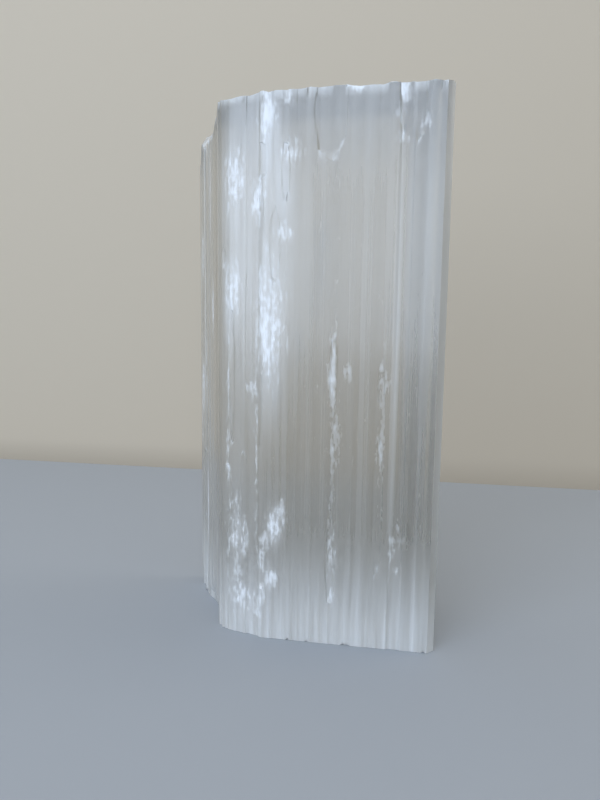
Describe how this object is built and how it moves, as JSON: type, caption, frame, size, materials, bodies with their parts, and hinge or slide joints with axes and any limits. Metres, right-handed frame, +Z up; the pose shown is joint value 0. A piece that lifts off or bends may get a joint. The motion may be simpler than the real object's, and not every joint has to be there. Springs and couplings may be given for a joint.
{
  "type": "selenite crystal",
  "caption": "Upright raw selenite crystal: a translucent cleaved gypsum prism with vertical fibres, broken ends and a flat foot, for display on a shelf or table.",
  "frame": {"origin": "centre of the bounding box at the level of the flat foot, on the surface that the crystal stands on", "axes": "+Z up along the crystal's length and fibres, the broad front cleavage face towards -Y, +X to the right seen from the front"},
  "size_m": [0.0946, 0.0468, 0.1802],
  "materials": {
    "selenite": "translucent satin"
  },
  "bodies": {
    "root": {"selenite_crystal": "selenite"}
  },
  "joints": []
}
